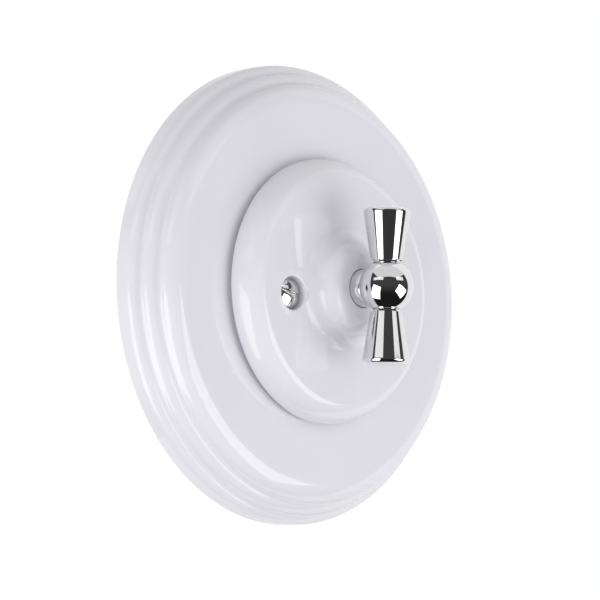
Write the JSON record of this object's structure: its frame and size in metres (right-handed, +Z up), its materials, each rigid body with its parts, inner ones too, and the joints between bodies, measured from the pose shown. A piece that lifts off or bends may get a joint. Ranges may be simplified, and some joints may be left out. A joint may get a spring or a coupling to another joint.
{
  "type": "rotary dimmer switch",
  "caption": "Round porcelain wall dimmer: stepped plate, domed cover with a boss, and a chromed bow-tie handle that turns to dim and presses to switch, on a flush box insert",
  "frame": {"origin": "Centre of the plate's back, on the wall plane and on the spindle's axis, midway between the two wall box slots", "axes": "+Z up, -Y out into the room, +Y into the wall box, +X to the right seen from the room"},
  "size_m": [0.1, 0.0591, 0.1],
  "materials": {
    "porcelain": "gloss",
    "chrome": "polished",
    "nickel": "polished",
    "zinc": "satin",
    "steel": "satin",
    "brass": "satin",
    "aluminium": "satin",
    "copper": "gloss",
    "grey_plastic": "satin",
    "black_plastic": "satin",
    "white_plastic": "satin",
    "yellow_plastic": "gloss",
    "board": "satin",
    "carbon": "matte",
    "ferrite": "matte",
    "glass": "gloss"
  },
  "bodies": {
    "root": {"wall_plate": "porcelain", "cover": "porcelain", "cover_screws": "nickel", "mounting_strap": "zinc", "cover_pillars": "brass", "pot_bushing": "brass", "bushing_washer": "zinc", "bushing_nut": "brass", "pot_case": "black_plastic", "resistor_track": "carbon", "switch_case": "black_plastic", "switch_contacts": "brass", "return_spring": "steel", "housing": "grey_plastic", "housing_lid": "grey_plastic", "housing_screws": "zinc", "circuit_board": "board", "heat_sink": "aluminium", "triac": "black_plastic", "choke_rod": "ferrite", "choke_winding": "copper", "film_capacitor": "yellow_plastic", "fuse": "glass", "fuse_clips": "brass", "terminal_clamps": "brass", "terminal_screws": "zinc"},
    "plunger": {"switch_plunger": "white_plastic", "contact_bridge": "brass"},
    "knob": {"knob_ball": "chrome", "knob_arm_upper": "chrome", "knob_arm_lower": "chrome", "spindle": "steel", "spindle_clip": "steel"},
    "rotor": {"wiper_rotor": "white_plastic", "wiper_contact": "brass"}
  },
  "joints": [
    {"name": "knob_push", "type": "slide", "parent": "root", "child": "plunger", "axis": [0, 1, 0], "range_m": [0, 0.0015], "stiffness_N_per_m": 1500, "springref_m": -0.001, "deforming": ["return_spring"]},
    {"name": "knob_turn", "type": "hinge", "parent": "plunger", "child": "knob", "pos_m": [0, 0, 0], "axis": [0, 1, 0], "range_deg": [-142, 128]},
    {"name": "rotor_turn", "type": "hinge", "parent": "root", "child": "rotor", "pos_m": [0, 0, 0], "axis": [0, 1, 0], "range_deg": [-142, 128]}
  ],
  "couplings": [
    {"joint": "rotor_turn", "follows": "knob_turn", "ratio": 1}
  ]
}
